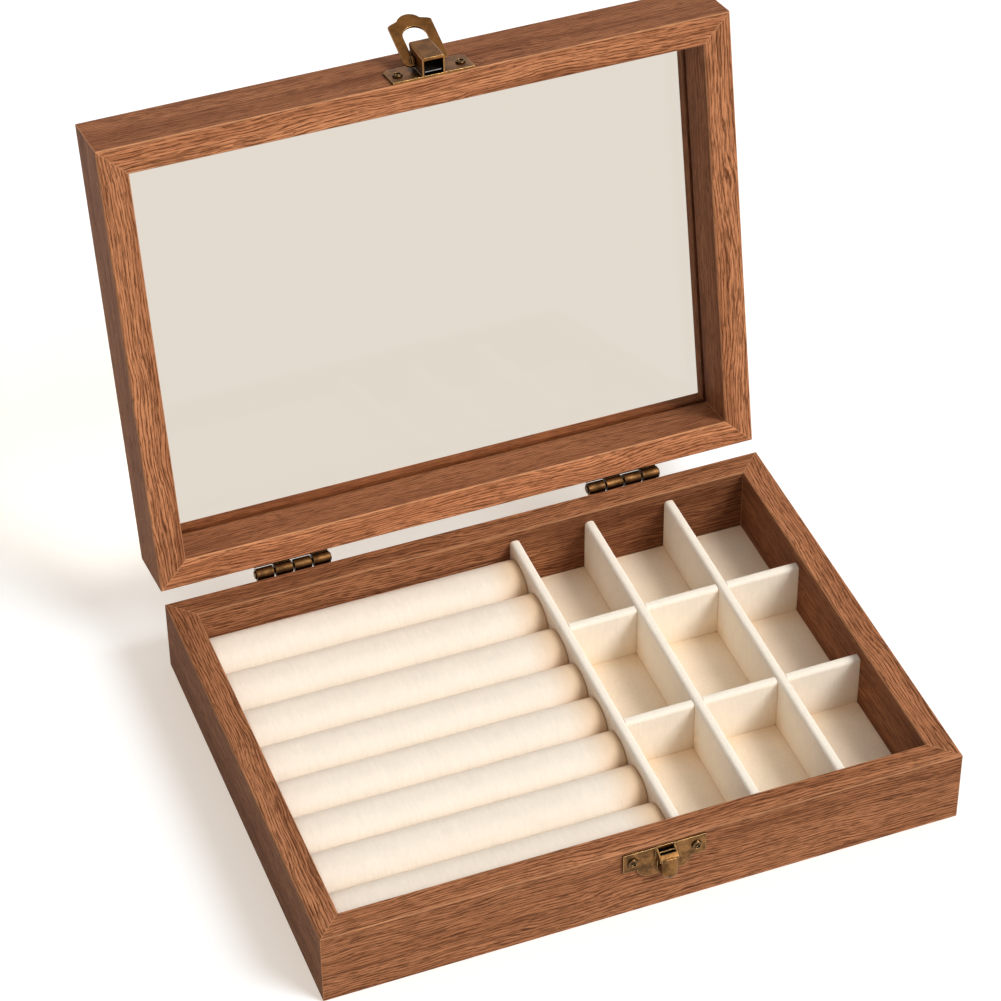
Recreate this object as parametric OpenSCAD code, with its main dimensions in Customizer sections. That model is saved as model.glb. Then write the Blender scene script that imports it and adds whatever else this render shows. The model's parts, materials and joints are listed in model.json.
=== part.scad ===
// Ring display box: a mitred wooden tray with a glazed, hinged lid, a bank of
// padded ring rolls on the left, velvet dividers on the right, two stop hinges
// at the back and a swinging bail latch on the front.
//
// Frame: origin at the middle of the underside, +X along the hinges to the right,
// +Y to the back, +Z up. The lid is drawn open, resting on its hinge stops.
// Lid pieces are modelled shut and then turned open about the hinge axis.

/* [Box] */
// Outside width, along the hinges
body_w = 240; // [200:1:300]
// Outside depth, front to back
body_d = 179; // [150:1:230]
// Height of the base walls
base_h = 31; // [28:0.5:45]
// Thickness of the base walls
base_wall = 9.8; // [8:0.1:14]
// Height of the lid walls
lid_h = 28; // [24:0.5:40]
// Thickness of the lid walls
lid_wall = 10.9; // [9:0.1:14]
// How far the lid stands open on its stops, in degrees
lid_open = 101.8; // [95:0.1:108]
// Width of the small chamfer on the outside edges
arris = 0.4; // [0.2:0.1:1.2]
// Clearance between the lid's rim and the base's rim when shut
rim_gap = 0.02; // [0.02:0.01:0.5]

/* [Bottom and glass] */
// Thickness of the bottom panel, let in flush with the underside
panel_t = 3; // [2:0.5:6]
// How far the bottom panel is let in under each wall
panel_rebate = 4; // [2:0.5:6]
// Clearance around a panel or lining
panel_fit = 0.1; // [0.05:0.05:0.4]
// Thickness of the velvet lining on the floor
lining_t = 1; // [0.5:0.1:2]
// Thickness of the glass
glass_t = 2; // [1.5:0.1:3]
// Height of the glass above the lid's rim
glass_z = 19.6; // [12:0.1:21]
// Depth of the glass groove in each lid wall
groove_depth = 4; // [2:0.5:6]
// Clearance over the glass, and beyond its edges, in the groove
glass_fit = 0.1; // [0.05:0.05:0.4]
// Width of the chamfer at the mouth of the glass groove
groove_relief = 0.4; // [0.2:0.1:0.8]

/* [Dividers] */
// Thickness of a velvet-covered divider
divider_t = 3.9; // [3.1:0.1:6]
// Height of the dividers that run front to back
divider_h = 22.6; // [16:0.1:24]
// How much lower the cross dividers are
cross_drop = 0.9; // [0:0.1:3]
// Radius of a divider's top edges
divider_edge = 1.5; // [0.5:0.1:1.9]
// Width of the left-hand column of compartments, beside the rolls
left_column_w = 26.8; // [20:0.1:34]
// Width of the two right-hand columns of compartments
column_w = 29.1; // [24:0.1:34]
// Depth of the back row of compartments
back_row_d = 48.6; // [30:0.1:60]
// Depth of the middle row of compartments
middle_row_d = 50; // [30:0.1:60]
// Clearance in the half-lap slots and at a divider's ends
lap_fit = 0.05; // [0.02:0.01:0.3]

/* [Ring rolls] */
// Height of the rolls above the floor lining
roll_h = 18.6; // [12:0.1:24]
// Size of each roll, back to front, against an even share of the tray
roll_share = [1.03, 1.04, 1.04, 0.95, 0.95, 0.92, 0.97, 1.10];
// Gap between a roll and what lies beside it
roll_gap = 0.1; // [0.05:0.05:0.5]

/* [Hinges] */
// Length of a hinge
hinge_l = 29; // [20:0.5:40]
// Place of the left hinge's middle along the box
left_hinge_x = -69; // [-85:0.5:-40]
// Place of the right hinge's middle along the box
right_hinge_x = 65; // [40:0.5:85]
// Distance of the hinge axis behind the box
hinge_back = 3; // [2.9:0.1:4]
// Outside radius of a knuckle
knuckle_r = 2.3; // [2:0.1:2.8]
// Radius of the hinge pin
hinge_pin_r = 0.9; // [0.6:0.05:1.2]
// Radial running clearance on the hinge pin
hinge_fit = 0.05; // [0.02:0.01:0.1]
// Gap between neighbouring knuckles
knuckle_gap = 0.8; // [0.1:0.1:1.2]
// Height of a leaf below or above the axis
leaf_h = 13; // [10:0.5:15]
// Thickness of a leaf
leaf_t = 1; // [0.8:0.1:1.4]

/* [Latch] */
// Place of the latch's middle along the box
latch_x = 5.4; // [-20:0.1:20]
// Width of the latch plate and of the catch plate
plate_w = 31; // [28:0.5:36]
// Thickness of the catch plate
catch_t = 0.8; // [0.6:0.1:1.2]
// Thickness of the latch plate
latch_t = 0.9; // [0.6:0.1:1.2]
// Distance of a plate's screws from its two ends
screw_inset = 3.5; // [2.5:0.1:4.5]
// Outside width of the latch housing
housing_w = 8.4; // [7:0.1:8.8]
// Thickness of the housing's sheet
housing_t = 0.5; // [0.4:0.1:0.8]
// Height of the bail's pivot above the box's front face
pivot_out = 3.8; // [3.4:0.1:4.2]
// Height of the bail's pivot above the parting line
pivot_up = 9; // [8:0.1:10]
// How far the bail leans out from the lid's face as it is drawn, in degrees
bail_lean = 27.5; // [0:0.5:60]
// Outside width of the bail
bail_w = 16.6; // [14.6:0.1:17.6]
// Thickness of the bail
bail_t = 0.9; // [0.7:0.1:1.1]
// Length of the bail below its window
bail_foot_l = 6; // [5.4:0.1:6.6]
// Radius of the bail's pivot pin
bail_pin_r = 0.8; // [0.6:0.05:1]
// Radial running clearance on the bail's pin
bail_fit = 0.05; // [0.02:0.01:0.1]

/* [Screws] */
// Radius of a screw's head
head_r = 1.9; // [1.5:0.1:2.2]
// Height of a screw's head
head_h = 0.8; // [0.5:0.1:1.2]
// Radius of a screw's shank
shank_r = 0.8; // [0.6:0.05:1]
// Length of a screw below its head
shank_l = 6; // [4:0.5:7]

/* [Hidden] */
$fn = 64;
eps = 0.01;

half_w = body_w / 2;
half_d = body_d / 2;
inner_w = body_w - 2 * base_wall;
inner_d = body_d - 2 * base_wall;
floor_z = panel_t + lining_t;
lid_z = base_h + rim_gap;
hinge_y = half_d + hinge_back;

inner_left = -inner_w / 2;
inner_right = inner_w / 2;
inner_back = inner_d / 2;
cross_h = divider_h - cross_drop;
lap_h = cross_h / 2;
right_divider_x = inner_right - column_w - divider_t;
left_divider_x = right_divider_x - column_w - divider_t;
main_divider_x = left_divider_x - left_column_w - divider_t;
rolls_w = main_divider_x - inner_left;
back_cross_y = inner_back - back_row_d - divider_t;
front_cross_y = back_cross_y - middle_row_d - divider_t;

roll_count = len(roll_share);
roll_pitch = inner_d / roll_count;

knuckles = 4;
knuckle_l = (hinge_l - (knuckles - 1) * knuckle_gap) / knuckles;
leaf_clear = 0.26;
leaf_top = sqrt(max(0.1, (knuckle_r + leaf_clear) ^ 2 - (hinge_back - leaf_t) ^ 2));
web_h = knuckle_r + 1.1;
stop_t = 1;
stop_reach = 1.4;
stop_gap = 0.01;
leaf_screw_x = 8.5;
leaf_screw_z = 8;
pin_head_r = hinge_pin_r + 0.6;
pin_head_t = 0.5;

screw_spacing = plate_w - 2 * screw_inset;

// Catch: all heights are measured down from the base's rim
ear_drop = 1.1;
ear_h = 8.5;
ear_chamfer = 0.5;
shield_w = 20.4;
shield_r = 5;
shield_drop = 14.2;
catch_screw_drop = 5.3;
bill_x = 0.2;
bill_w = 7;
bill_edge = 2;
bill_out = 4.9;
bill_flare = 7;
belly_drop = 5;
chin_r = 3.35;
chin_drop = 10.5;
chin_x = 0.5;
lip_r = 0.8;
lip_out = 5.7;
lip_drop = 5.4;
lip_w = 5.6;
cheek_drop = [0.8, 1.5];
cheek_out = [0.9, 1.3];
pocket_t = 0.5;
pocket_out = [0.9, 3.4];
pocket_drop = 9;
pocket_bar = [1.7, 2.2];
pocket_bar_drop = [2.6, 3.1];

// Latch: all heights are measured up from the lid's rim
latch_low = 0.3;
latch_high = 12.8;
latch_chamfer = 1.8;
latch_screw_up = 5.9;
housing_low = -1.2;
housing_high = 14;
housing_foot = [0.4, 12.3];
housing_front_out = 8.2;
housing_back_out = 9.2;
housing_front_t = 1.2;
housing_edge = 0.8;
ear_r = 2;
ear_t = 0.9;
ear_fit = 0.3;
bail_head_r = bail_pin_r + 0.35;
bail_head_t = 0.5;
pin_half_l = housing_w / 2 + ear_fit + ear_t;
bail_root = -2.4;
hump_r = 5.1;
lip_fit = 1;
window_l = pivot_up + lip_drop + lip_fit;
bail_l = window_l + bail_foot_l;
shoulder_l = window_l + 1.8;
spring_t = 0.3;
spring_fit = 0.1;
spring_side = 0.6;
spring_w = housing_w - 2 * (housing_t + spring_side);

BASE_NODES = ["base_front_wall", "base_back_wall", "base_left_wall", "base_right_wall",
    "base_bottom_panel", "floor_lining", "main_divider", "left_divider", "right_divider",
    "back_cross_divider", "front_cross_divider"];
ROLL_NODES = [for (i = [1:roll_count]) str("ring_roll_", i)];
BASE_METAL_NODES = ["catch_plate", "catch_screws", "left_hinge_base_leaf", "right_hinge_base_leaf",
    "left_hinge_pin", "right_hinge_pin", "base_hinge_screws"];
LID_NODES = ["lid_front_wall", "lid_back_wall", "lid_left_wall", "lid_right_wall", "lid_glass",
    "latch_housing", "latch_spring", "latch_screws", "left_hinge_lid_leaf", "right_hinge_lid_leaf",
    "lid_hinge_screws"];
BAIL_NODES = ["latch_bail", "latch_bail_pin"];

// ---------- helpers ----------

// Extrudes a (y, z) outline along X, centred on X = 0
module along_x(length) {
    translate([-length / 2, 0, 0]) rotate([90, 0, 90]) linear_extrude(length) children();
}

// Extrudes an (x, z) outline along Y from y0
module along_y(y0, thickness) {
    translate([0, y0 + thickness, 0]) rotate([90, 0, 0]) linear_extrude(thickness) children();
}

// Turns what is modelled shut into the open lid's place
module opened() {
    translate([0, hinge_y, base_h]) rotate([-lid_open, 0, 0]) translate([0, -hinge_y, -base_h])
        children();
}

// Local frame of the front hardware: x from the latch's middle, y out of the box, z up
module on_front(z) {
    translate([latch_x, -half_d, z]) mirror([0, 1, 0]) children();
}

// Places a wall's children, drawn with the outer face at y = 0, on one side of the box
module on_side(side) {
    if (side == "front") translate([0, -half_d, 0]) children();
    if (side == "back") translate([0, half_d, 0]) rotate([0, 0, 180]) children();
    if (side == "left") translate([-half_w, 0, 0]) rotate([0, 0, -90]) children();
    if (side == "right") translate([half_w, 0, 0]) rotate([0, 0, 90]) children();
}

function side_length(side) = (side == "front" || side == "back") ? body_w : body_d;

// A wall of the given (y, z) outline, cut to 45 degree mitres at both ends
module mitred(length, wall, height) {
    intersection() {
        along_x(length) children();
        translate([0, 0, -eps]) linear_extrude(height + 2 * eps) polygon([
            [-length / 2, 0], [length / 2, 0], [length / 2 - wall, wall], [-length / 2 + wall, wall]]);
    }
}

// One screw, its head's seat at z = 0 and its shank pointing down
module screw() {
    recess_r = head_r * 0.7;
    recess_h = head_h * 0.85;
    tip_h = shank_r * 1.6;
    rotate_extrude() polygon([
        [0, head_h - recess_h], [recess_r * 0.85, head_h - recess_h], [recess_r, head_h],
        [head_r - head_h * 0.4, head_h], [head_r, head_h * 0.5], [head_r, 0], [shank_r, 0],
        [shank_r, -shank_l + tip_h], [0, -shank_l]]);
}

// The hole that a screw's shank fills, drawn like screw()
module pilot() {
    translate([0, 0, -shank_l - eps]) cylinder(r = shank_r + 0.02, h = shank_l + 1);
}

// Children at each screw of a front plate, pointing out of the plate's face
module at_plate_screws(seat, up) {
    for (x = [-1, 1] * screw_spacing / 2)
        translate([x, seat, up]) rotate([-90, 0, 0]) children();
}

// ---------- wooden walls ----------

module base_profile() {
    polygon([
        [arris, 0], [base_wall - panel_rebate, 0], [base_wall - panel_rebate, panel_t],
        [base_wall, panel_t], [base_wall, base_h - arris], [base_wall - arris, base_h],
        [arris, base_h], [0, base_h - arris], [0, arris]]);
}

module lid_profile() {
    groove_top = glass_z + glass_t + glass_fit;
    groove_y = lid_wall - groove_depth;
    polygon([
        [arris, 0], [lid_wall - arris, 0], [lid_wall, arris], [lid_wall, glass_z - groove_relief],
        [lid_wall - groove_relief, glass_z], [groove_y, glass_z], [groove_y, groove_top],
        [lid_wall - groove_relief, groove_top], [lid_wall, groove_top + groove_relief],
        [lid_wall, lid_h - arris], [lid_wall - arris, lid_h], [arris, lid_h],
        [0, lid_h - arris], [0, arris]]);
}

module base_wall_piece(side) {
    color("saddlebrown") difference() {
        on_side(side) mitred(side_length(side), base_wall, base_h) base_profile();
        if (side == "front")
            on_front(base_h) at_plate_screws(catch_t, -catch_screw_drop) pilot();
        if (side == "back") at_leaf_screws(-1) pilot();
    }
}

module lid_wall_piece(side) {
    color("saddlebrown") opened() difference() {
        translate([0, 0, lid_z]) on_side(side)
            mitred(side_length(side), lid_wall, lid_h) lid_profile();
        if (side == "front") on_front(lid_z) at_plate_screws(latch_t, latch_screw_up) pilot();
        if (side == "back") at_leaf_screws(1) pilot();
    }
}

module base_bottom_panel() {
    w = inner_w + 2 * (panel_rebate - panel_fit);
    d = inner_d + 2 * (panel_rebate - panel_fit);
    color("peru") translate([-w / 2, -d / 2, 0]) cube([w, d, panel_t]);
}

module lid_glass() {
    w = body_w - 2 * lid_wall + 2 * (groove_depth - glass_fit);
    d = body_d - 2 * lid_wall + 2 * (groove_depth - glass_fit);
    color([0.85, 0.9, 0.9, 0.4]) opened()
        translate([-w / 2, -d / 2, lid_z + glass_z]) cube([w, d, glass_t]);
}

// ---------- velvet-covered inside ----------

module floor_lining() {
    w = inner_w - 2 * panel_fit;
    d = inner_d - 2 * panel_fit;
    color("antiquewhite") translate([-w / 2, -d / 2, panel_t]) cube([w, d, lining_t]);
}

// A board's end outline with rounded top edges, from its left lower corner
module rounded_board(height) {
    square([divider_t, height - divider_edge]);
    translate([divider_edge, 0]) square([divider_t - 2 * divider_edge, height]);
    for (x = [divider_edge, divider_t - divider_edge])
        translate([x, height - divider_edge]) circle(divider_edge);
}

// A divider that runs front to back, with its left face at x
module long_divider(x) {
    length = inner_d - 2 * lap_fit;
    color("antiquewhite") translate([x, length / 2, floor_z]) rotate([90, 0, 0])
        linear_extrude(length) rounded_board(divider_h);
}

// A long divider notched from below where the cross dividers pass
module lapped_divider(x) {
    color("antiquewhite") difference() {
        long_divider(x);
        for (y = [back_cross_y, front_cross_y])
            translate([x - 1, y - lap_fit, floor_z - 1])
                cube([divider_t + 2, divider_t + 2 * lap_fit, lap_h + 1]);
    }
}

// A cross divider notched from above, with its front face at y
module cross_divider(y) {
    from_x = main_divider_x + divider_t + lap_fit;
    to_x = inner_right - lap_fit;
    color("antiquewhite") difference() {
        translate([from_x, y, floor_z]) rotate([90, 0, 90]) linear_extrude(to_x - from_x)
            rounded_board(cross_h);
        for (x = [left_divider_x, right_divider_x])
            translate([x - lap_fit, y - 1, floor_z + lap_h])
                cube([divider_t + 2 * lap_fit, divider_t + 2, cross_h]);
    }
}

// Sum of the first n roll shares
function shares_before(n) = n == 0 ? 0 : roll_share[n - 1] + shares_before(n - 1);

// A padded roll: a round crest, flattened where it meets its neighbours and the floor
module ring_roll(i) {
    back_y = inner_back - roll_pitch * shares_before(i);
    width = roll_pitch * roll_share[i] - roll_gap;
    r = width / 2 + 0.35;
    length = rolls_w - 2 * roll_gap;
    color("antiquewhite")
        translate([inner_left + roll_gap + length / 2, back_y - width / 2 - roll_gap / 2, floor_z])
            along_x(length) intersection() {
                translate([0, roll_h - r]) circle(r);
                translate([-width / 2, 0]) square([width, roll_h]);
            }
}

// ---------- hinges ----------

// Outlines are in (y, z) from the hinge axis, for the base's half; the lid's is mirrored in z

module leaf_outline() {
    polygon([
        [-hinge_back, -leaf_h], [-hinge_back + leaf_t, -leaf_h],
        [-hinge_back + leaf_t, -leaf_top], [-hinge_back, -leaf_top]]);
}

module knuckle_outline() {
    circle(knuckle_r);
    polygon([
        [-hinge_back, -web_h], [-hinge_back + leaf_t, -web_h], [0, -knuckle_r],
        [-leaf_top, -leaf_top], [-hinge_back, -leaf_top]]);
}

// A point of the lid's half as it lies when the lid is open
function turned(p) = [
    p[0] * cos(lid_open) + p[1] * sin(lid_open), -p[0] * sin(lid_open) + p[1] * cos(lid_open)];

// The block on the base leaf that the lid's tooth rests against
module stop_outline() {
    near = turned([knuckle_r + 0.2, -stop_t / 2 - stop_gap]);
    far = turned([knuckle_r + stop_reach, -stop_t / 2 - stop_gap]);
    face_y = -hinge_back + leaf_t;
    polygon([
        [face_y - eps, near[1] + 0.1], near, far, [far[0] - 0.1, far[1] - 0.8],
        [face_y - eps, far[1] - 1.4]]);
}

function knuckle_x(i) = -hinge_l / 2 + knuckle_l / 2 + i * (knuckle_l + knuckle_gap);

// Half a hinge about its own axis: own and other are the knuckles of this half and of the other
module hinge_half(own, other, bore_r) {
    difference() {
        union() {
            along_x(hinge_l) leaf_outline();
            for (i = own) translate([knuckle_x(i), 0, 0]) along_x(knuckle_l) knuckle_outline();
        }
        rotate([0, 90, 0]) cylinder(r = bore_r, h = hinge_l + 2, center = true);
        for (x = [-1, 1] * leaf_screw_x)
            translate([x, -hinge_back, -leaf_screw_z]) rotate([-90, 0, 0])
                cylinder(r = shank_r + 0.1, h = 2 * leaf_t, center = true);
    }
}

// Children at each hinge's axis
module at_hinge(x) {
    translate([x, hinge_y, base_h]) children();
}

// Children at each screw of the leaves below (-1) or above (1) the axis
module at_leaf_screws(up) {
    for (hinge_x = [left_hinge_x, right_hinge_x], x = [-1, 1] * leaf_screw_x)
        at_hinge(hinge_x) translate([x, -hinge_back + leaf_t, up * leaf_screw_z])
            rotate([-90, 0, 0]) children();
}

module hinge_base_leaf(x) {
    color("darkgoldenrod") at_hinge(x) {
        hinge_half([0, 2], [1, 3], hinge_pin_r);
        for (i = [1, 3]) translate([knuckle_x(i), 0, 0]) along_x(knuckle_l - 1) stop_outline();
    }
}

module hinge_lid_leaf(x) {
    color("darkgoldenrod") opened() at_hinge(x) {
        mirror([0, 0, 1]) hinge_half([1, 3], [0, 2], hinge_pin_r + hinge_fit);
        for (i = [1, 3]) translate([knuckle_x(i), 0, 0]) along_x(knuckle_l - 1)
            translate([knuckle_r - 0.3, -stop_t / 2]) square([stop_reach + 0.3, stop_t]);
    }
}

module hinge_pin(x) {
    half_l = hinge_l / 2 + 0.05;
    color("darkgoldenrod") at_hinge(x) rotate([0, 90, 0]) {
        cylinder(r = hinge_pin_r, h = 2 * half_l, center = true);
        for (end = [-1, 1])
            translate([0, 0, end * (half_l + pin_head_t / 2)])
                cylinder(r = pin_head_r, h = pin_head_t, center = true);
    }
}

// ---------- catch on the base ----------

// Half of the tongue's section, in (x, out) from its middle
module tongue_section() {
    flat = chin_r - bill_edge;
    square([chin_r, bill_out - bill_edge]);
    square([flat, bill_out]);
    intersection() {
        translate([flat, bill_out - bill_edge]) circle(bill_edge);
        square([chin_r, bill_out]);
    }
}

// The duck bill: a smooth tongue with rounded edges and a round chin, flaring as it goes down
module bill_tongue() {
    translate([chin_x, bill_out, -belly_drop]) rotate([bill_flare, 0, 0])
        translate([0, -bill_out, belly_drop - chin_drop]) {
            linear_extrude(chin_drop - belly_drop) {
                tongue_section();
                mirror([1, 0, 0]) tongue_section();
            }
            rotate([-90, 0, 0]) rotate_extrude() tongue_section();
        }
    translate([chin_x, 0, -chin_drop]) rotate([-90, 0, 0]) cylinder(r = chin_r - 0.6, h = bill_out / 2);
}

// The bill's rolled lip, and the cheeks that run from it back up to the plate
module bill_lip() {
    lip = [lip_out - lip_r, lip_r - lip_drop];
    end = lip_w / 2 - lip_r;
    translate([0, lip[0], lip[1]]) rotate([0, 90, 0]) cylinder(r = lip_r, h = 2 * end, center = true);
    for (x = [-1, 1] * end) translate([x, lip[0], lip[1]]) rotate([0, 90, 0]) sphere(lip_r);
    along_x(bill_w) polygon([
        [catch_t / 2, -cheek_drop[0]], [cheek_out[0], -cheek_drop[0]],
        [cheek_out[1], -cheek_drop[1]], [lip[0], lip[1] + lip_r], [lip[0] - 0.1, lip[1] - lip_r * 0.8],
        [bill_out - bill_edge, -belly_drop - 1.4], [catch_t / 2, -belly_drop - 1.4]]);
}

module catch_plate() {
    color("darkgoldenrod") on_front(base_h) {
        difference() {
            along_y(0, catch_t) {
                polygon([
                    [-plate_w / 2, -ear_drop], [plate_w / 2, -ear_drop],
                    [plate_w / 2, -ear_drop - ear_h + ear_chamfer],
                    [plate_w / 2 - ear_chamfer, -ear_drop - ear_h],
                    [-plate_w / 2 + ear_chamfer, -ear_drop - ear_h],
                    [-plate_w / 2, -ear_drop - ear_h + ear_chamfer]]);
                translate([-shield_w / 2, shield_r - shield_drop])
                    square([shield_w, shield_drop - shield_r - ear_drop - 1]);
                translate([shield_r - shield_w / 2, -shield_drop])
                    square([shield_w - 2 * shield_r, shield_r]);
                for (x = [-1, 1] * (shield_w / 2 - shield_r))
                    translate([x, shield_r - shield_drop]) circle(shield_r);
            }
            at_plate_screws(0, -catch_screw_drop)
                cylinder(r = shank_r + 0.1, h = 3, center = true);
        }
        translate([bill_x, 0, 0]) {
            difference() {
                union() {
                    bill_tongue();
                    bill_lip();
                }
                translate([-bill_w / 2 + pocket_t, pocket_out[0], -pocket_drop])
                    cube([bill_w - 2 * pocket_t, pocket_out[1] - pocket_out[0], pocket_drop]);
            }
            translate([-bill_w / 2 + pocket_t / 2, pocket_bar[0], -pocket_bar_drop[1]]) cube([
                bill_w - pocket_t, pocket_bar[1] - pocket_bar[0],
                pocket_bar_drop[1] - pocket_bar_drop[0]]);
        }
    }
}

module catch_screws() {
    color("darkgoldenrod") on_front(base_h) at_plate_screws(catch_t, -catch_screw_drop) screw();
}

// ---------- latch on the lid ----------

// The housing's box: rounded long edges, its top rising towards the back
module housing_bar(width, inset, edge) {
    tilt = atan((housing_back_out - housing_front_out) / (housing_high - housing_low));
    depth = 12;
    translate([0, housing_front_out - inset, housing_low]) rotate([-tilt, 0, 0])
        translate([0, 0, -5]) linear_extrude(housing_high - housing_low + 10) {
            translate([-width / 2, -depth]) square([width, depth - edge]);
            translate([-width / 2 + edge, -depth]) square([width - 2 * edge, depth]);
            for (x = [-1, 1] * (width / 2 - edge)) translate([x, -edge]) circle(edge);
        }
}

// Side outline of the housing between its two ends, in (out, z) from the lid's rim
module housing_ends(inset) {
    polygon([
        [latch_t / 2 + inset, housing_foot[0] - 4 * inset],
        [housing_front_out + 1, housing_low - 4 * inset],
        [housing_back_out + 1, housing_high - inset], [latch_t / 2 + inset, housing_foot[1] - inset]]);
}

module latch_housing() {
    color("darkgoldenrod") opened() on_front(lid_z) difference() {
        union() {
            along_y(0, latch_t) polygon([
                [-plate_w / 2, latch_low], [plate_w / 2, latch_low],
                [plate_w / 2, latch_high - latch_chamfer],
                [plate_w / 2 - latch_chamfer, latch_high],
                [-plate_w / 2 + latch_chamfer, latch_high],
                [-plate_w / 2, latch_high - latch_chamfer]]);
            intersection() {
                housing_bar(housing_w, 0, housing_edge);
                along_x(housing_w) housing_ends(0);
            }
        }
        intersection() {
            housing_bar(housing_w - 2 * housing_t, housing_front_t, housing_edge / 3);
            along_x(housing_w) housing_ends(latch_t / 2);
        }
        translate([0, pivot_out, pivot_up]) rotate([0, 90, 0])
            cylinder(r = bail_pin_r + bail_fit, h = housing_w + 2, center = true);
        at_plate_screws(0, latch_screw_up) cylinder(r = shank_r + 0.1, h = 3, center = true);
    }
}

// A leaf spring seated on the plate, bowed up to the bail's pin
module latch_spring() {
    crest = pivot_out - bail_pin_r - spring_fit;
    foot_z = housing_foot[1] - 1;
    color("gray") opened() on_front(lid_z) along_x(spring_w) polygon([
        [latch_t, foot_z], [latch_t, foot_z - 1.2], [crest - spring_t, pivot_up],
        [crest - spring_t, pivot_up - 2.4], [crest - 3 * spring_t, housing_foot[0] + 0.6],
        [crest - 2 * spring_t, housing_foot[0] + 0.6], [crest, pivot_up - 2.4], [crest, pivot_up],
        [latch_t + spring_t, foot_z - 1], [latch_t + spring_t, foot_z]]);
}

module latch_screws() {
    color("darkgoldenrod") opened() on_front(lid_z) at_plate_screws(latch_t, latch_screw_up) screw();
}

// Turns what is drawn along the lid's face, from the pivot, to the bail's place
module at_bail() {
    opened() on_front(lid_z) translate([0, pivot_out, pivot_up]) rotate([-bail_lean, 0, 0])
        children();
}

// Outline of the bail from its pivot: two arms, an arched window and a round finger tab
module bail_outline() {
    inside = housing_w / 2 + ear_fit;
    outside = bail_w / 2;
    difference() {
        union() {
            for (side = [-1, 1]) polygon([
                [side * inside, bail_root], [side * (outside - 1.9), bail_root],
                [side * (outside - 0.7), bail_root + 0.7], [side * outside, bail_root + 2.1],
                [side * outside, shoulder_l], [side * inside, shoulder_l]]);
            polygon([
                [-outside, shoulder_l - 1], [outside, shoulder_l - 1], [outside, shoulder_l],
                [outside - 1, shoulder_l + 0.7], [hump_r * 0.9, bail_l - hump_r * 0.5],
                [-hump_r * 0.9, bail_l - hump_r * 0.5], [-outside + 1, shoulder_l + 0.7],
                [-outside, shoulder_l]]);
            translate([-outside + 1, window_l - inside]) square([2 * outside - 2, inside + 1]);
            translate([0, bail_l - hump_r]) circle(hump_r);
        }
        translate([0, window_l - inside]) circle(inside);
        translate([-inside, bail_root - 1]) square([2 * inside, window_l - inside - bail_root + 1]);
    }
}

module latch_bail() {
    ear_x = housing_w / 2 + ear_fit + ear_t / 2;
    color("darkgoldenrod") at_bail() difference() {
        union() {
            along_y(-bail_t / 2, bail_t) bail_outline();
            for (x = [-1, 1] * ear_x) translate([x, 0, 0]) rotate([0, 90, 0])
                cylinder(r = ear_r, h = ear_t, center = true);
        }
        rotate([0, 90, 0]) cylinder(r = bail_pin_r, h = 2 * pin_half_l, center = true);
        for (x = [-1, 1] * (pin_half_l + bail_head_t / 2)) translate([x, 0, 0]) rotate([0, 90, 0])
            cylinder(r = bail_head_r + 0.05, h = bail_head_t + 0.1, center = true);
    }
}

module latch_bail_pin() {
    color("darkgoldenrod") at_bail() rotate([0, 90, 0]) {
        cylinder(r = bail_pin_r, h = 2 * pin_half_l, center = true);
        for (end = [-1, 1])
            translate([0, 0, end * (pin_half_l + bail_head_t / 2)])
                cylinder(r = bail_head_r, h = bail_head_t, center = true);
    }
}

// ---------- drawing ----------

for (side = ["front", "back", "left", "right"]) {
    base_wall_piece(side);
    lid_wall_piece(side);
}
base_bottom_panel();
floor_lining();
long_divider(main_divider_x);  // main_divider
lapped_divider(left_divider_x);  // left_divider
lapped_divider(right_divider_x);  // right_divider
cross_divider(back_cross_y);  // back_cross_divider
cross_divider(front_cross_y);  // front_cross_divider
for (i = [1:roll_count])
    ring_roll(i - 1);
catch_plate();
catch_screws();
hinge_base_leaf(left_hinge_x);  // left_hinge_base_leaf
hinge_base_leaf(right_hinge_x);  // right_hinge_base_leaf
hinge_pin(left_hinge_x);  // left_hinge_pin
hinge_pin(right_hinge_x);  // right_hinge_pin
color("darkgoldenrod") at_leaf_screws(-1) screw();  // base_hinge_screws
lid_glass();
latch_housing();
latch_spring();
latch_screws();
hinge_lid_leaf(left_hinge_x);  // left_hinge_lid_leaf
hinge_lid_leaf(right_hinge_x);  // right_hinge_lid_leaf
color("darkgoldenrod") opened() at_leaf_screws(1) screw();  // lid_hinge_screws
latch_bail();
latch_bail_pin();
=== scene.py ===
"""Looks of the ring display box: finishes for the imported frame, modelled ring rolls, camera and studio.

All lengths are in metres in the row frame unless a name ends in _MM. The lid stands open at rest, so
whatever depends on the lid's own faces is worked out in the frame that it has when shut.
"""

import json
import math

import bmesh
import bpy
from mathutils import Matrix, Vector, noise


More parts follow.
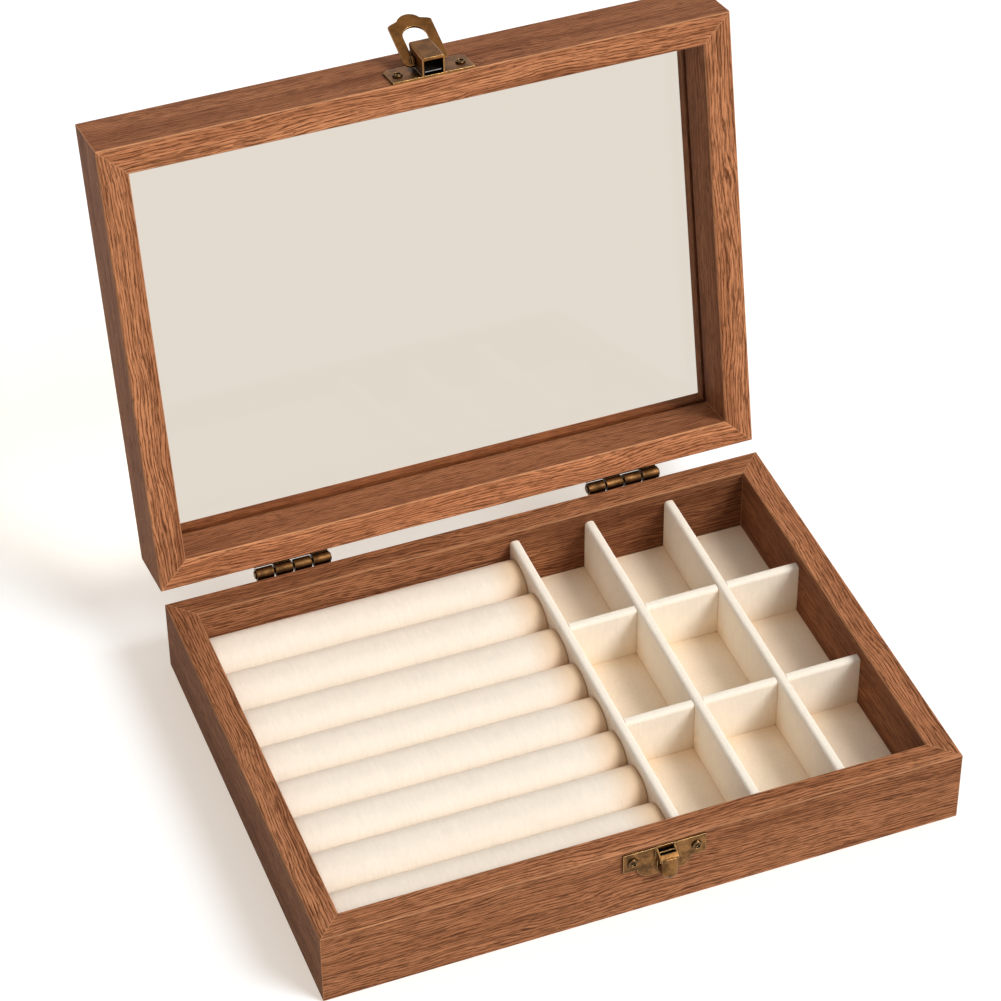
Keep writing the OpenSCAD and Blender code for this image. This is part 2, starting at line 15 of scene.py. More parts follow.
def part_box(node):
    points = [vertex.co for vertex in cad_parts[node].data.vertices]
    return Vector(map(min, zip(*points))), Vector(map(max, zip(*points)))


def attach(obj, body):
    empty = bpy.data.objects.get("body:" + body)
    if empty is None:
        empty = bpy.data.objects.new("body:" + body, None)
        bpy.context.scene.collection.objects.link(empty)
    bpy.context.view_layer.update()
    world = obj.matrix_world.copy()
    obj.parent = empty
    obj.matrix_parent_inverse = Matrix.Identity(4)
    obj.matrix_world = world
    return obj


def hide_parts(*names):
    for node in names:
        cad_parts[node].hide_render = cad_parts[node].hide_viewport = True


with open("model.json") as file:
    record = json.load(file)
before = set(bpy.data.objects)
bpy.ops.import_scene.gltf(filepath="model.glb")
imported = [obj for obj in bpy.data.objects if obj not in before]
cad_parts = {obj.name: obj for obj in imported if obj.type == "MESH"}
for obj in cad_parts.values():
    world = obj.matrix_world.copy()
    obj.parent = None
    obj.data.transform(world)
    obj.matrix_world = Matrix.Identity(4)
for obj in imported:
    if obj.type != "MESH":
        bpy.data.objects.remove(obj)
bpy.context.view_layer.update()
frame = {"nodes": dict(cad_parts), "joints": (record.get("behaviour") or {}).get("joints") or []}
nodes = frame["nodes"]

# ---------- sizes read from the frame ----------

LID_JOINT = next(j for j in frame["joints"] if j["name"] == "lid_hinge")
LID_AXIS = Vector(LID_JOINT["pos_m"])
LID_TURN = math.radians(LID_JOINT["range_deg"][1])
HALF_W_MM = 1000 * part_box("base_front_wall")[1].x
HALF_D_MM = 1000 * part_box("base_back_wall")[1].y

GLASS_LOW, GLASS_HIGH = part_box("lid_glass")
GLASS_HEIGHT_MM = 1000 * (
    LID_AXIS + Matrix.Rotation(LID_TURN, 3, "X") @ ((GLASS_LOW + GLASS_HIGH) / 2 - LID_AXIS)).z

# ---------- camera and lamp ----------

CAMERA_PLACE = Vector((-0.3417, -0.8591, 0.9189))
CAMERA_FORWARD = Vector((0.26484, 0.70716, -0.65558))
CAMERA_ROLL = math.radians(-0.64)
CLIP_NEAR = 0.05
CLIP_FAR = 50
LENS_MM = 127.02
SENSOR_MM = 36.0

KEY_FROM = Vector((0.49, -0.52, 0.7))
KEY_SPREAD = math.radians(26)
KEY_LEVEL = 2.4
KEY_COLOUR = (1.0, 0.985, 0.96)


def make_camera():
    data = bpy.data.cameras.new("camera")
    data.lens = LENS_MM
    data.sensor_width = SENSOR_MM
    data.clip_start = CLIP_NEAR
    data.clip_end = CLIP_FAR
    cam = bpy.data.objects.new("camera", data)
    bpy.context.scene.collection.objects.link(cam)
    turn = CAMERA_FORWARD.to_track_quat("-Z", "Y") @ Matrix.Rotation(CAMERA_ROLL, 3, "Z").to_quaternion()
    cam.rotation_mode = "QUATERNION"
    cam.rotation_quaternion = turn
    cam.location = CAMERA_PLACE
    bpy.context.scene.camera = cam


def make_key():
    """One broad, far lamp, so that the floor is evenly lit."""
    data = bpy.data.lights.new("key", "SUN")
    data.angle = KEY_SPREAD
    data.energy = KEY_LEVEL
    data.color = KEY_COLOUR
    lamp = bpy.data.objects.new("key", data)
    lamp.location = KEY_FROM * 2
    lamp.rotation_mode = "QUATERNION"
    lamp.rotation_quaternion = (-KEY_FROM).to_track_quat("-Z", "Y")
    bpy.context.scene.collection.objects.link(lamp)


# ---------- node helpers ----------


def new_material(name):
    material = bpy.data.materials.new(name)
    material.use_nodes = True
    material.node_tree.nodes.clear()
    return material, material.node_tree


def put(tree, socket, value):
    """Feeds an input from another node's output, or sets it to a number or a colour."""
    if isinstance(value, bpy.types.NodeSocket):
        tree.links.new(value, socket)
    else:
        socket.default_value = value


def add(tree, kind, values=None, **settings):
    """A shader node; values maps an input's name or number to a number, a colour or another node's output."""
    made = tree.nodes.new("ShaderNode" + kind)
    for key, value in settings.items():
        setattr(made, key, value)
    for key, value in (values or {}).items():
        put(tree, made.inputs[key], value)
    return made


def maths(tree, operation, a, b=0.0, c=0.0):
    return add(tree, "Math", {0: a, 1: b, 2: c}, operation=operation).outputs[0]


def opposite(tree, value):
    """1 where the value is 0, and 0 where it is 1."""
    return maths(tree, "SUBTRACT", 1.0, value)


def vector_maths(tree, operation, a, b):
    return add(tree, "VectorMath", {0: a, 1: b}, operation=operation).outputs[0]


def mapped(tree, vector, scale=(1, 1, 1), turn=(0, 0, 0), shift=(0, 0, 0)):
    values = {"Vector": vector, "Scale": scale, "Rotation": turn, "Location": shift}
    return add(tree, "Mapping", values).outputs[0]


def noise_of(tree, vector, scale, detail, roughness=0.5):
    values = {"Vector": vector, "Scale": scale, "Detail": detail, "Roughness": roughness}
    return add(tree, "TexNoise", values).outputs["Fac"]


def ramp(tree, fac, low, high):
    """Smoothly from 0 at low to 1 at high."""
    values = {"Value": fac, "From Min": low, "From Max": high}
    return add(tree, "MapRange", values, interpolation_type="SMOOTHSTEP").outputs["Result"]


def blend_colour(tree, fac, a, b, kind="MIX"):
    """Colour a where fac is 0, and b where it is 1."""
    made = tree.nodes.new("ShaderNodeMix")
    made.data_type = "RGBA"
    made.blend_type = kind
    made.clamp_factor = True
    # a colour mix has its factor and its two colours at these numbers
    for number, value in ((0, fac), (6, a), (7, b)):
        put(tree, made.inputs[number], value)
    return made.outputs[2]


def laid_over(tree, under, over, mask, weight):
    """One colour over another where the mask says, as thickly as the weight says."""
    return blend_colour(tree, maths(tree, "MULTIPLY", mask, weight), under, over)


def openness(tree, reach):
    """How open a spot is to its surroundings within reach: low in a corner or a recess."""
    return add(tree, "AmbientOcclusion", {"Distance": reach}, samples=8).outputs["AO"]


def linear(red, green, blue):
    """A colour written as 0 to 255 values, as a shader takes it."""
    def one(value):
        value /= 255
        return value / 12.92 if value <= 0.04045 else ((value + 0.055) / 1.055) ** 2.4

    return (one(red), one(green), one(blue), 1.0)


def output(tree, shader):
    add(tree, "OutputMaterial", {"Surface": shader})


# ---------- walnut ----------

WALNUT_PALE = (204, 138, 96)
WALNUT_MID = (176, 114, 77)
WALNUT_DARK = (86, 47, 27)
# Pale colour of the mitres' glue lines and of the arrises, where it is wear and a painted highlight
WALNUT_EDGE = (206, 150, 108)
# How dark each board is against the palette, which holds its own tone and painted light and shade together,
# and how much darker with painted shade its broad sides are than its rim.
BOARD_TONE = {
    "base_front": (0.87, 0.0), "base_back": (0.78, 0.0), "base_left": (0.8, 0.22), "base_right": (0.9, 0.48),
    "lid_front": (1.14, 0.44), "lid_back": (1.22, 0.5), "lid_left": (1.0, 0.3), "lid_right": (1.02, 0.36),
    "panel": (0.8, 0.0)}
# Painted shadow that darkens the back wall behind the compartments: where it starts along the wall, and where
# it is full.
BACK_SHADOW_MM = (10.0, 40.0)
BACK_SHADOW_WEIGHT = 0.5

# How far one board's figure lies from the next one's, in the noise
BOARD_SHIFT_MM = (311.0, 57.0, 23.0)
# Each layer's fineness along the board and across it, in steps per millimetre
DRIFT_FINE = (0.011, 0.03, 0.03)
SWAY_FINE = (0.07, 0.12, 0.12)
BAND_FINE = (0.005, 0.12, 0.12)
STREAK_FINE = (0.009, 0.9, 0.9)
DASH_FINE = (0.13, 2.9, 2.9)
WANDER_FINE = (0.025, 0.3, 0.3)
BREAK_FINE = (0.2, 1.1, 1.1)
# How far the grain drifts and sways sideways, and how far a growth line wanders
DRIFT_MM = 8.0
SWAY_MM = 0.9
WANDER_MM = 2.2
LINE_STEP_MM = 1.25
BAND_WEIGHT = 0.4
STREAK_WEIGHT = 0.45
DASH_WEIGHT = 0.66
# A growth line's weight where it is broken, and what an unbroken stretch adds
LINE_LEAST = 0.26
LINE_MORE = 0.62

# Width of the pale glue line at each mitre, and how strong the pale lines are: glue, and arrises paled by
# wear and a painted highlight
MITRE_LINE_MM = 0.22
PALE_GLUE_AND_HIGHLIGHT_WEIGHT = 0.5
# The groove round the glass, darkened with painted shadow: half its height, where that shadow ends, and where
# it starts inside the walls
GROOVE_HALF_MM = 1.5
GROOVE_FADE_MM = 2.1
GROOVE_INSIDE_MM = (-2.0, -3.0)
GROOVE_SHADOW_WEIGHT = 0.8


def shut_frame(tree, on_lid):
    """Object coordinates in millimetres, in the frame that the piece has when the box is shut."""
    place = add(tree, "TexCoord").outputs["Object"]
    if not on_lid:
        return mapped(tree, place, scale=(1000, 1000, 1000))
    from_axis = vector_maths(tree, "SUBTRACT", place, tuple(LID_AXIS))
    turned = mapped(tree, from_axis, scale=(1000, 1000, 1000), turn=(LID_TURN, 0, 0))
    return vector_maths(tree, "ADD", turned, tuple(LID_AXIS * 1000))


def grain_frame(tree, shut, side, seed):
    """Millimetres with x along the board, swaying gently sideways."""
    quarter = 0 if side in ("front", "back", "panel") else math.pi / 2
    along = mapped(tree, shut, turn=(0, 0, quarter), shift=tuple(seed * part for part in BOARD_SHIFT_MM))
    drift = noise_of(tree, mapped(tree, along, scale=DRIFT_FINE), 1.0, 2)
    sway = noise_of(tree, mapped(tree, along, scale=SWAY_FINE), 1.0, 2)
    swing = maths(tree, "ADD", maths(tree, "MULTIPLY", drift, DRIFT_MM),
                  maths(tree, "MULTIPLY", sway, SWAY_MM))
    offset = add(tree, "CombineXYZ", {1: swing, 2: swing}).outputs[0]
    return vector_maths(tree, "ADD", along, offset)


def figure(tree, grain, light, middle, dark):
    """Colour and height of the grain: soft bands, broken growth lines, long streaks and short pore dashes."""
    def layer(fine, roughness=0.6):
        return noise_of(tree, mapped(tree, grain, scale=fine), 1.0, 2, roughness)

    bands = layer(BAND_FINE, 0.5)
    across = add(tree, "SeparateXYZ", {0: grain})
    place = maths(tree, "ADD", maths(tree, "ADD", across.outputs[1], across.outputs[2]),
                  maths(tree, "MULTIPLY", layer(WANDER_FINE), WANDER_MM))
    wave = maths(tree, "SINE", maths(tree, "MULTIPLY", place, 2 * math.pi / LINE_STEP_MM))
    unbroken = ramp(tree, layer(BREAK_FINE), 0.33, 0.62)
    line_weight = maths(tree, "MULTIPLY_ADD", unbroken, LINE_MORE, LINE_LEAST)
    line = maths(tree, "MULTIPLY", ramp(tree, wave, 0.2, 0.95), line_weight)
    dash = ramp(tree, layer(DASH_FINE), 0.5, 0.6)

    colour = blend_colour(tree, ramp(tree, bands, 0.3, 0.7), light, middle)
    colour = laid_over(tree, colour, dark, ramp(tree, bands, 0.58, 0.74), BAND_WEIGHT)
    colour = blend_colour(tree, line, colour, dark)
    colour = laid_over(tree, colour, dark, ramp(tree, layer(STREAK_FINE), 0.52, 0.64), STREAK_WEIGHT)
    colour = laid_over(tree, colour, dark, dash, DASH_WEIGHT)
    height = maths(tree, "SUBTRACT", maths(tree, "MULTIPLY", line, -0.5), dash)
    return colour, height


def face_masks(tree, on_lid):
    """How upright a face of the shut box is, and how far it is from square to it, as on an arris: the first
    sets painted shade, the second a pale arris of wear and painted highlight.
    """
    face = add(tree, "TexCoord").outputs["Normal"]
    if on_lid:
        turned = add(tree, "Mapping", {"Vector": face, "Rotation": (LID_TURN, 0, 0)}, vector_type="NORMAL")
        face = turned.outputs[0]
    squared = add(tree, "SeparateXYZ", {0: vector_maths(tree, "MULTIPLY", face, face)})
    across, deep, up = squared.outputs
    square_on = maths(tree, "MAXIMUM", maths(tree, "MAXIMUM", across, deep), up)
    return opposite(tree, up), opposite(tree, ramp(tree, square_on, 0.55, 0.9))


def walnut(name, on_lid, side, seed):
    """Walnut with its grain along the wall, a pale glue line at each mitre, pale arrises of wear and painted
    highlight, and painted shade on the upright faces, on the back wall behind the compartments and in the
    lid's groove round the glass.
    """
    material, tree = new_material(name)
    tone, painted_side_shade = BOARD_TONE[name.removesuffix("_walnut")]
    light, middle, dark, edge = (
        tuple(part * tone for part in linear(*written)[:3]) + (1.0,)
        for written in (WALNUT_PALE, WALNUT_MID, WALNUT_DARK, WALNUT_EDGE))
    shut = shut_frame(tree, on_lid)
    colour, height = figure(tree, grain_frame(tree, shut, side, seed), light, middle, dark)

    apart = add(tree, "SeparateXYZ", {0: shut})
    to_x = maths(tree, "SUBTRACT", maths(tree, "ABSOLUTE", apart.outputs[0]), HALF_W_MM)
    to_y = maths(tree, "SUBTRACT", maths(tree, "ABSOLUTE", apart.outputs[1]), HALF_D_MM)
    off_mitre = maths(tree, "ABSOLUTE", maths(tree, "SUBTRACT", to_x, to_y))
    glue = opposite(tree, ramp(tree, off_mitre, MITRE_LINE_MM * 0.5, MITRE_LINE_MM * 1.5))

    upright, arris_wear_and_highlight = face_masks(tree, on_lid)
    # Painted shade: the upright faces darker than the rim
    colour = laid_over(tree, colour, dark, upright, painted_side_shade)
    # Painted shadow on the back wall's upright faces behind the compartments
    if name == "base_back_walnut":
        back_shadow = maths(tree, "MULTIPLY", ramp(tree, apart.outputs[0], *BACK_SHADOW_MM), BACK_SHADOW_WEIGHT)
        colour = laid_over(tree, colour, dark, upright, back_shadow)
    if on_lid:
        off_glass = maths(tree, "ABSOLUTE", maths(tree, "SUBTRACT", apart.outputs[2], GLASS_HEIGHT_MM))
        inside = ramp(tree, maths(tree, "MAXIMUM", to_x, to_y), *GROOVE_INSIDE_MM)
        near_glass = opposite(tree, ramp(tree, off_glass, GROOVE_HALF_MM, GROOVE_FADE_MM))
        groove_shadow = maths(tree, "MULTIPLY", near_glass, inside)
        # No painted arris highlight within the groove's painted shadow
        arris_wear_and_highlight = maths(tree, "MULTIPLY", arris_wear_and_highlight, opposite(tree, groove_shadow))
    # Pale glue lines, and pale arrises as wear with a painted highlight
    colour = laid_over(tree, colour, edge, maths(tree, "MAXIMUM", glue, arris_wear_and_highlight), PALE_GLUE_AND_HIGHLIGHT_WEIGHT)
    if on_lid:
        # Painted shadow in the groove round the glass
        colour = laid_over(tree, colour, dark, groove_shadow, GROOVE_SHADOW_WEIGHT)

    relief = add(tree, "Bump", {"Height": height, "Strength": 0.3, "Distance": 0.0002})
    shader = add(tree, "BsdfPrincipled", {
        "Base Color": colour, "Roughness": 0.6, "Specular IOR Level": 0.06, "Normal": relief.outputs[0]})
    output(tree, shader.outputs[0])
    return material


# ---------- velvet ----------

VELVET_ROLL = linear(241, 229, 214)
VELVET_BOARD = linear(247, 237, 222)
VELVET_FLOOR = linear(249, 232, 209)
# Painted shade colours: in the corners, in the folds, and the main divider's shadow on the rolls' right ends
VELVET_SHADE = linear(255, 240, 220)
VELVET_FOLD_SHADE = linear(206, 170, 132)
VELVET_END_SHADOW = linear(224, 187, 143)
# Noise steps per metre
MOTTLE_FINE = 130.0
BRUSHED_FINE = 900.0
PILE_FINE = 2600.0
# The nap's tone where every noise is 0, and what each noise adds
NAP_LEAST = 0.84
MOTTLE_WEIGHT = 0.08
BRUSHED_WEIGHT = 0.14
PILE_WEIGHT = 0.1
# Painted shade: how far out the corners and the folds look for cover, and how strong the folds' shade is
CORNER_SHADE_REACH = 0.014
FOLD_SHADE_REACH = 0.0015
FOLD_SHADE_WEIGHT = 0.7
# Painted shadow of the main divider over the rolls' right ends: how far from the end it would be full, how
# far it reaches, and how strong it is
ROLL_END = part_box("ring_roll_1")[1].x
END_SHADOW_FULL = -0.002
END_SHADOW_LENGTH = 0.016
END_SHADOW_WEIGHT = 0.9


def velvet(name, tint, along_roll=False):
    """Short-pile velvet: mottled nap and brushed streaks, with painted tan shade deep in the folds and
    corners, and on the rolls a painted shadow over their right ends.
    """
    material, tree = new_material(name)
    place = add(tree, "TexCoord").outputs["Object"]
    mottle = noise_of(tree, place, MOTTLE_FINE, 3, 0.6)
    stretch = (1.0, 0.22, 0.22) if along_roll else (1.0, 1.0, 0.25)
    brushed = noise_of(tree, mapped(tree, place, scale=stretch), BRUSHED_FINE, 3, 0.6)
    pile = noise_of(tree, place, PILE_FINE, 3, 0.7)
    streaks = maths(tree, "ADD", maths(tree, "MULTIPLY", brushed, BRUSHED_WEIGHT),
                    maths(tree, "MULTIPLY", pile, PILE_WEIGHT))
    tone = maths(tree, "ADD", maths(tree, "MULTIPLY_ADD", mottle, MOTTLE_WEIGHT, NAP_LEAST), streaks)
    shade = add(tree, "CombineColor", {0: tone, 1: tone, 2: tone}).outputs[0]
    colour = blend_colour(tree, 1.0, tint, shade, "MULTIPLY")
    if not along_roll:
        # Painted shade in the corners
        corner_shade = ramp(tree, openness(tree, CORNER_SHADE_REACH), 0.75, 0.15)
        colour = blend_colour(tree, corner_shade, colour, VELVET_SHADE, "MULTIPLY")
    # Painted shade in the folds, between the rolls and at the joints
    fold_shade = opposite(tree, ramp(tree, openness(tree, FOLD_SHADE_REACH), 0.2, 0.7))
    colour = laid_over(tree, colour, VELVET_FOLD_SHADE, fold_shade, FOLD_SHADE_WEIGHT)
    if along_roll:
        # Painted shadow of the main divider on the rolls' right ends
        to_end = maths(tree, "SUBTRACT", ROLL_END, add(tree, "SeparateXYZ", {0: place}).outputs[0])
        end_shadow = opposite(tree, ramp(tree, to_end, END_SHADOW_FULL, END_SHADOW_LENGTH))
        colour = laid_over(tree, colour, VELVET_END_SHADOW, end_shadow, END_SHADOW_WEIGHT)
    height = maths(tree, "ADD", maths(tree, "MULTIPLY", brushed, 0.5), maths(tree, "MULTIPLY", pile, 0.5))
    relief = add(tree, "Bump", {"Height": height, "Strength": 0.5, "Distance": 0.0004})
    shader = add(tree, "BsdfPrincipled", {
        "Base Color": colour, "Roughness": 0.95, "Specular IOR Level": 0.1,
        "Sheen Weight": 0.15, "Sheen Roughness": 0.45, "Sheen Tint": (1.0, 0.95, 0.88, 1.0),
        "Normal": relief.outputs[0]})
    output(tree, shader.outputs[0])
    return material


# ---------- metal and glass ----------

BRONZE_DARK = linear(48, 30, 16)
BRONZE_MID = linear(162, 110, 60)
BRONZE_CATCH = linear(146, 104, 60)
BRONZE_AGED = linear(124, 88, 52)
BRONZE_SCREW = linear(92, 66, 42)
# Bright rubbed edges, which also paint their highlight
BRONZE_BRIGHT = linear(232, 190, 130)
# Noise steps per metre
CLOUD_FINE = 210.0
SPECK_FINE = 1500.0
RECESS_REACH = 0.003
EDGE_RADIUS = 0.00035
GLASS_TINT = linear(227, 218, 206)


def bronze(name, tint, patina, rough_low, wear_and_highlight):
    """Antique bronze: dark in the recesses and in cloudy patches, bright along the edges as rubbed wear with
    a painted highlight.

    patina is how dark its patches are, rough_low how rough it is at least, and wear_and_highlight how bright
    its edges are from wear and painted highlight.
    """
    material, tree = new_material(name)
    place = add(tree, "TexCoord").outputs["Object"]
    cloud = noise_of(tree, place, CLOUD_FINE, 4, 0.65)
    speck = noise_of(tree, place, SPECK_FINE, 3, 0.6)
    rounded = add(tree, "Bevel", {"Radius": EDGE_RADIUS}, samples=6).outputs[0]
    flat = add(tree, "NewGeometry").outputs["Normal"]
    likeness = add(tree, "VectorMath", {0: rounded, 1: flat}, operation="DOT_PRODUCT").outputs["Value"]
    edge = ramp(tree, likeness, 0.99, 0.8)
    colour = blend_colour(tree, ramp(tree, openness(tree, RECESS_REACH), 0.35, 0.85), BRONZE_DARK, tint)
    colour = laid_over(tree, colour, BRONZE_DARK, ramp(tree, cloud, 0.36, 0.66), patina)
    colour = laid_over(tree, colour, BRONZE_DARK, ramp(tree, speck, 0.5, 0.75), patina * 0.6)
    # Bright edges: rubbed wear with a painted highlight
    colour = laid_over(tree, colour, BRONZE_BRIGHT, edge, wear_and_highlight)
    rough = maths(tree, "MULTIPLY_ADD", cloud, 0.25, rough_low)
    relief = add(tree, "Bump", {"Height": speck, "Strength": 0.12, "Distance": 0.0001, "Normal": rounded})
    shader = add(tree, "BsdfPrincipled", {
        "Base Color": colour, "Metallic": 1.0, "Roughness": rough, "Normal": relief.outputs[0]})
    output(tree, shader.outputs[0])
    return material


def spring_steel(name):
    """Bare steel strip, brushed along its length."""
    material, tree = new_material(name)
    place = add(tree, "TexCoord").outputs["Object"]
    brushed = noise_of(tree, mapped(tree, place, scale=(0.2, 1, 1)), 3000.0, 2)
    colour = blend_colour(tree, brushed, linear(120, 116, 110), linear(190, 186, 180))
    shader = add(tree, "BsdfPrincipled", {
        "Base Color": colour, "Metallic": 1.0, "Roughness": maths(tree, "MULTIPLY_ADD", brushed, 0.2, 0.25)})
    output(tree, shader.outputs[0])
    return material


def glass(name):
    """Clear pane with a faint warm tint and faint smears; lamps shine through it."""
    material, tree = new_material(name)
    place = add(tree, "TexCoord").outputs["Object"]
    smear = noise_of(tree, mapped(tree, place, scale=(1, 0.4, 0.4)), 22.0, 3, 0.55)
    rough = maths(tree, "MULTIPLY", ramp(tree, smear, 0.55, 0.8), 0.03)
    pane = add(tree, "BsdfPrincipled", {
        "Base Color": GLASS_TINT, "Roughness": rough, "IOR": 1.2, "Transmission Weight": 1.0})
    clear = add(tree, "BsdfTransparent", {"Color": GLASS_TINT})
    lamp_ray = add(tree, "LightPath").outputs["Is Shadow Ray"]
    output(tree, add(tree, "MixShader", {0: lamp_ray, 1: pane.outputs[0], 2: clear.outputs[0]}).outputs[0])
    return material


# ---------- studio ----------

WHITE = (1, 1, 1, 1)
WORLD_COLOUR = (1.0, 0.99, 0.98, 1.0)
WORLD_LEFT = 0.4
WORLD_RIGHT = 0.64
# How far to the left and right the surround reaches those levels, where 1 is straight sideways
WORLD_TURN = 0.8
FLOOR_SIZE = 12.0
FLOOR_COLOUR = (0.52, 0.5, 0.47, 1.0)
FLOOR_SEEN = (0.62, 0.71, 0.8, 1.0)
FLOOR_GLOW = (0.5, 0.41, 0.32, 1.0)


def floor_material():
    """Pale matte floor. Where the eye or a gloss sees it, a little light of its own takes it to white and
    leaves the shadow warm; through the glass it is plain white."""
    material, tree = new_material("floor")
    path = add(tree, "LightPath")
    through = path.outputs["Is Transmission Ray"]
    seen = maths(tree, "MAXIMUM", path.outputs["Is Camera Ray"], path.outputs["Is Glossy Ray"])
    plain = add(tree, "BsdfDiffuse", {"Color": FLOOR_COLOUR})
    matte = add(tree, "BsdfDiffuse", {"Color": FLOOR_SEEN})
    glow = add(tree, "Emission", {"Color": FLOOR_GLOW, "Strength": 1.0})
    lifted = add(tree, "AddShader", {0: matte.outputs[0], 1: glow.outputs[0]})
    white = add(tree, "Emission", {"Color": WHITE, "Strength": 1.0})
    shown = add(tree, "MixShader", {0: seen, 1: plain.outputs[0], 2: lifted.outputs[0]})
    output(tree, add(tree, "MixShader", {0: through, 1: shown.outputs[0], 2: white.outputs[0]}).outputs[0])
    return material


def make_world():
    """Soft white surround, dimmer on the left than on the right."""
    world = bpy.data.worlds.new("world")
    world.use_nodes = True
    tree = world.node_tree
    tree.nodes.clear()
    path = add(tree, "LightPath")
    towards = add(tree, "SeparateXYZ", {0: add(tree, "TexCoord").outputs["Generated"]}).outputs[0]
    level = add(tree, "MapRange", {
        "Value": towards, "From Min": -WORLD_TURN, "From Max": WORLD_TURN,
        "To Min": WORLD_LEFT, "To Max": WORLD_RIGHT}, interpolation_type="SMOOTHSTEP").outputs[0]
    lit = add(tree, "Background", {"Color": WORLD_COLOUR, "Strength": level})
    white = add(tree, "Background", {"Color": WHITE, "Strength": 1.0})
    seen = maths(tree, "MAXIMUM", path.outputs["Is Camera Ray"], path.outputs["Is Transmission Ray"])
    mixed = add(tree, "MixShader", {0: seen, 1: lit.outputs[0], 2: white.outputs[0]})
    add(tree, "OutputWorld", {"Surface": mixed.outputs[0]})
    bpy.context.scene.world = world


def make_floor():
    mesh = bpy.data.meshes.new("floor")
    half = FLOOR_SIZE / 2
    corners = [(-half, -half, 0), (half, -half, 0), (half, half, 0), (-half, half, 0)]
    mesh.from_pydata(corners, [], [(0, 1, 2, 3)])
    floor = bpy.data.objects.new("floor", mesh)
    mesh.materials.append(floor_material())
    bpy.context.scene.collection.objects.link(floor)


# ---------- ring rolls ----------

ROLL_STEPS_ALONG = 60
ROLL_STEPS_ROUND = 22
ROLL_SKIN_GAP = 0.00015
# Under 1, the section is fuller at its shoulders than a circle
ROLL_SHOULDER = 0.82
# Each end tucks in: over what length, and by how much at the very end
LEFT_TUCK_LENGTH = 0.003
LEFT_TUCK = 0.0012
RIGHT_TUCK_LENGTH = 0.0012
RIGHT_TUCK = 0.0005
# How much of the tuck the sides take
SIDE_TUCK = 0.35
# The skin's hollows: how deep, how close along the roll and round it, and how far one roll is from the next
HOLLOW_DEPTH = 0.00022
HOLLOW_ALONG = 45
HOLLOW_ROUND = 0.31
HOLLOW_ROLL = 7.3


def tuck_at(x, low, high):
    """How far the skin is drawn in at x."""
    left = max(0.0, 1 - (x - low) / LEFT_TUCK_LENGTH) ** 2 * LEFT_TUCK
    right = max(0.0, 1 - (high - x) / RIGHT_TUCK_LENGTH) ** 2 * RIGHT_TUCK
    return left + right


def roll_ring(bm, x, index, low, high):
    """The vertices of one section of a roll: over the crest from back to front, then the flat underside."""
    middle = (low.y + high.y) / 2
    half = (high.y - low.y) / 2 - ROLL_SKIN_GAP
    tuck = tuck_at(x, low.x, high.x)
    ring = []
    for k in range(ROLL_STEPS_ROUND + 1):
        angle = math.pi * k / ROLL_STEPS_ROUND
        place = Vector((x * HOLLOW_ALONG, index * HOLLOW_ROLL, k * HOLLOW_ROUND))
        hollow = min(0.0, HOLLOW_DEPTH * noise.noise(place))
        r = half - tuck * SIDE_TUCK + hollow
        y = middle + r * math.copysign(abs(math.cos(angle)) ** ROLL_SHOULDER, math.cos(angle))
        z = high.z - half - tuck + (half + hollow) * abs(math.sin(angle)) ** ROLL_SHOULDER
        ring.append(bm.verts.new((x, y, z)))
    ring.append(bm.verts.new((x, middle - half + tuck * SIDE_TUCK, low.z)))
    ring.append(bm.verts.new((x, middle + half - tuck * SIDE_TUCK, low.z)))
    return ring


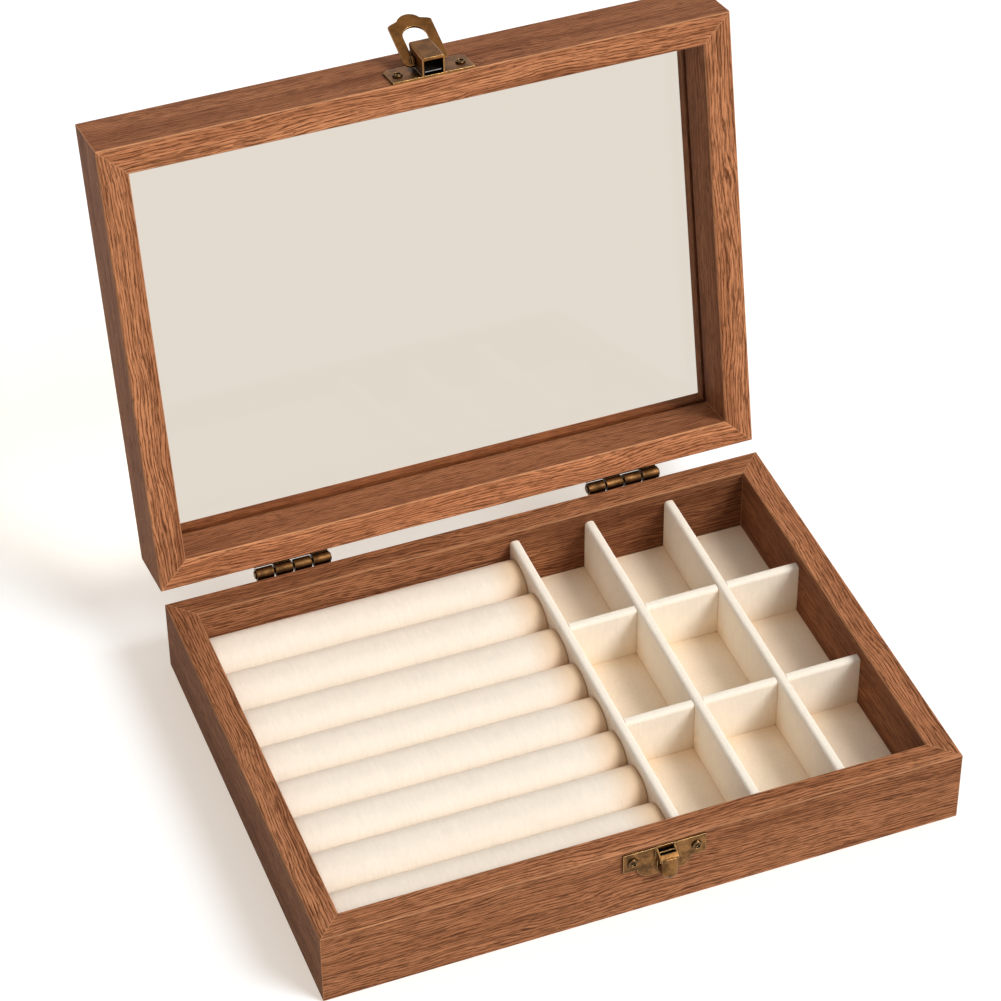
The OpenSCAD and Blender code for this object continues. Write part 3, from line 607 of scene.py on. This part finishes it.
def make_roll(node, index):
    """A foam roll in velvet: a full, round crest, ends that tuck in a little, flat underneath."""
    low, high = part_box(node)
    bm = bmesh.new()
    rings = []
    for i in range(ROLL_STEPS_ALONG + 1):
        # closer rings towards the ends
        share = 0.5 - 0.5 * math.cos(math.pi * (i / ROLL_STEPS_ALONG))
        rings.append(roll_ring(bm, low.x + (high.x - low.x) * share, index, low, high))
    count = len(rings[0])
    for a, b in zip(rings, rings[1:]):
        for k in range(count):
            bm.faces.new((a[k], a[(k + 1) % count], b[(k + 1) % count], b[k]))
    bm.faces.new(rings[0])
    bm.faces.new(list(reversed(rings[-1])))
    bmesh.ops.recalc_face_normals(bm, faces=bm.faces)
    mesh = bpy.data.meshes.new(f"velvet_{node}")
    bm.to_mesh(mesh)
    bm.free()
    for polygon in mesh.polygons:
        polygon.use_smooth = len(polygon.vertices) == 4
    roll = bpy.data.objects.new(f"velvet_{node}", mesh)
    bpy.context.scene.collection.objects.link(roll)
    mesh.materials.append(ROLL_VELVET)
    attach(roll, "base")
    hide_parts(node)


# ---------- putting it together ----------


def dress(node, material):
    mesh = nodes[node].data
    mesh.materials.clear()
    mesh.materials.append(material)


make_camera()
make_world()
make_floor()
make_key()

for seed, side in enumerate(("front", "back", "left", "right"), 1):
    dress(f"base_{side}_wall", walnut(f"base_{side}_walnut", False, side, seed))
    dress(f"lid_{side}_wall", walnut(f"lid_{side}_walnut", True, side, seed + 4))
dress("base_bottom_panel", walnut("panel_walnut", False, "panel", 9))

BOARD_VELVET = velvet("board_velvet", VELVET_BOARD)
FLOOR_VELVET = velvet("floor_velvet", VELVET_FLOOR)
ROLL_VELVET = velvet("roll_velvet", VELVET_ROLL, along_roll=True)
for node in ("main_divider", "left_divider", "right_divider", "back_cross_divider", "front_cross_divider"):
    dress(node, BOARD_VELVET)
dress("floor_lining", FLOOR_VELVET)
for index in range(1, 9):
    make_roll(f"ring_roll_{index}", index)

# Each bronze with its tint, patina, least roughness and edge brightness from wear and painted highlight, and
# the pieces that have it
BRONZES = (
    (bronze("antique_bronze", BRONZE_MID, 0.45, 0.2, 0.85), (
        "latch_housing", "latch_bail", "latch_bail_pin")),
    (bronze("catch_bronze", BRONZE_CATCH, 0.75, 0.22, 0.85), (
        "catch_plate",)),
    (bronze("aged_bronze", BRONZE_AGED, 0.7, 0.34, 0.2), (
        "left_hinge_base_leaf", "right_hinge_base_leaf", "left_hinge_lid_leaf", "right_hinge_lid_leaf",
        "left_hinge_pin", "right_hinge_pin")),
    (bronze("screw_bronze", BRONZE_SCREW, 0.4, 0.2, 0.85), (
        "catch_screws", "latch_screws", "base_hinge_screws", "lid_hinge_screws")))
for material, bronze_nodes in BRONZES:
    for node in bronze_nodes:
        dress(node, material)
dress("latch_spring", spring_steel("spring_steel"))
dress("lid_glass", glass("glass"))

bpy.context.scene.view_settings.view_transform = "Standard"
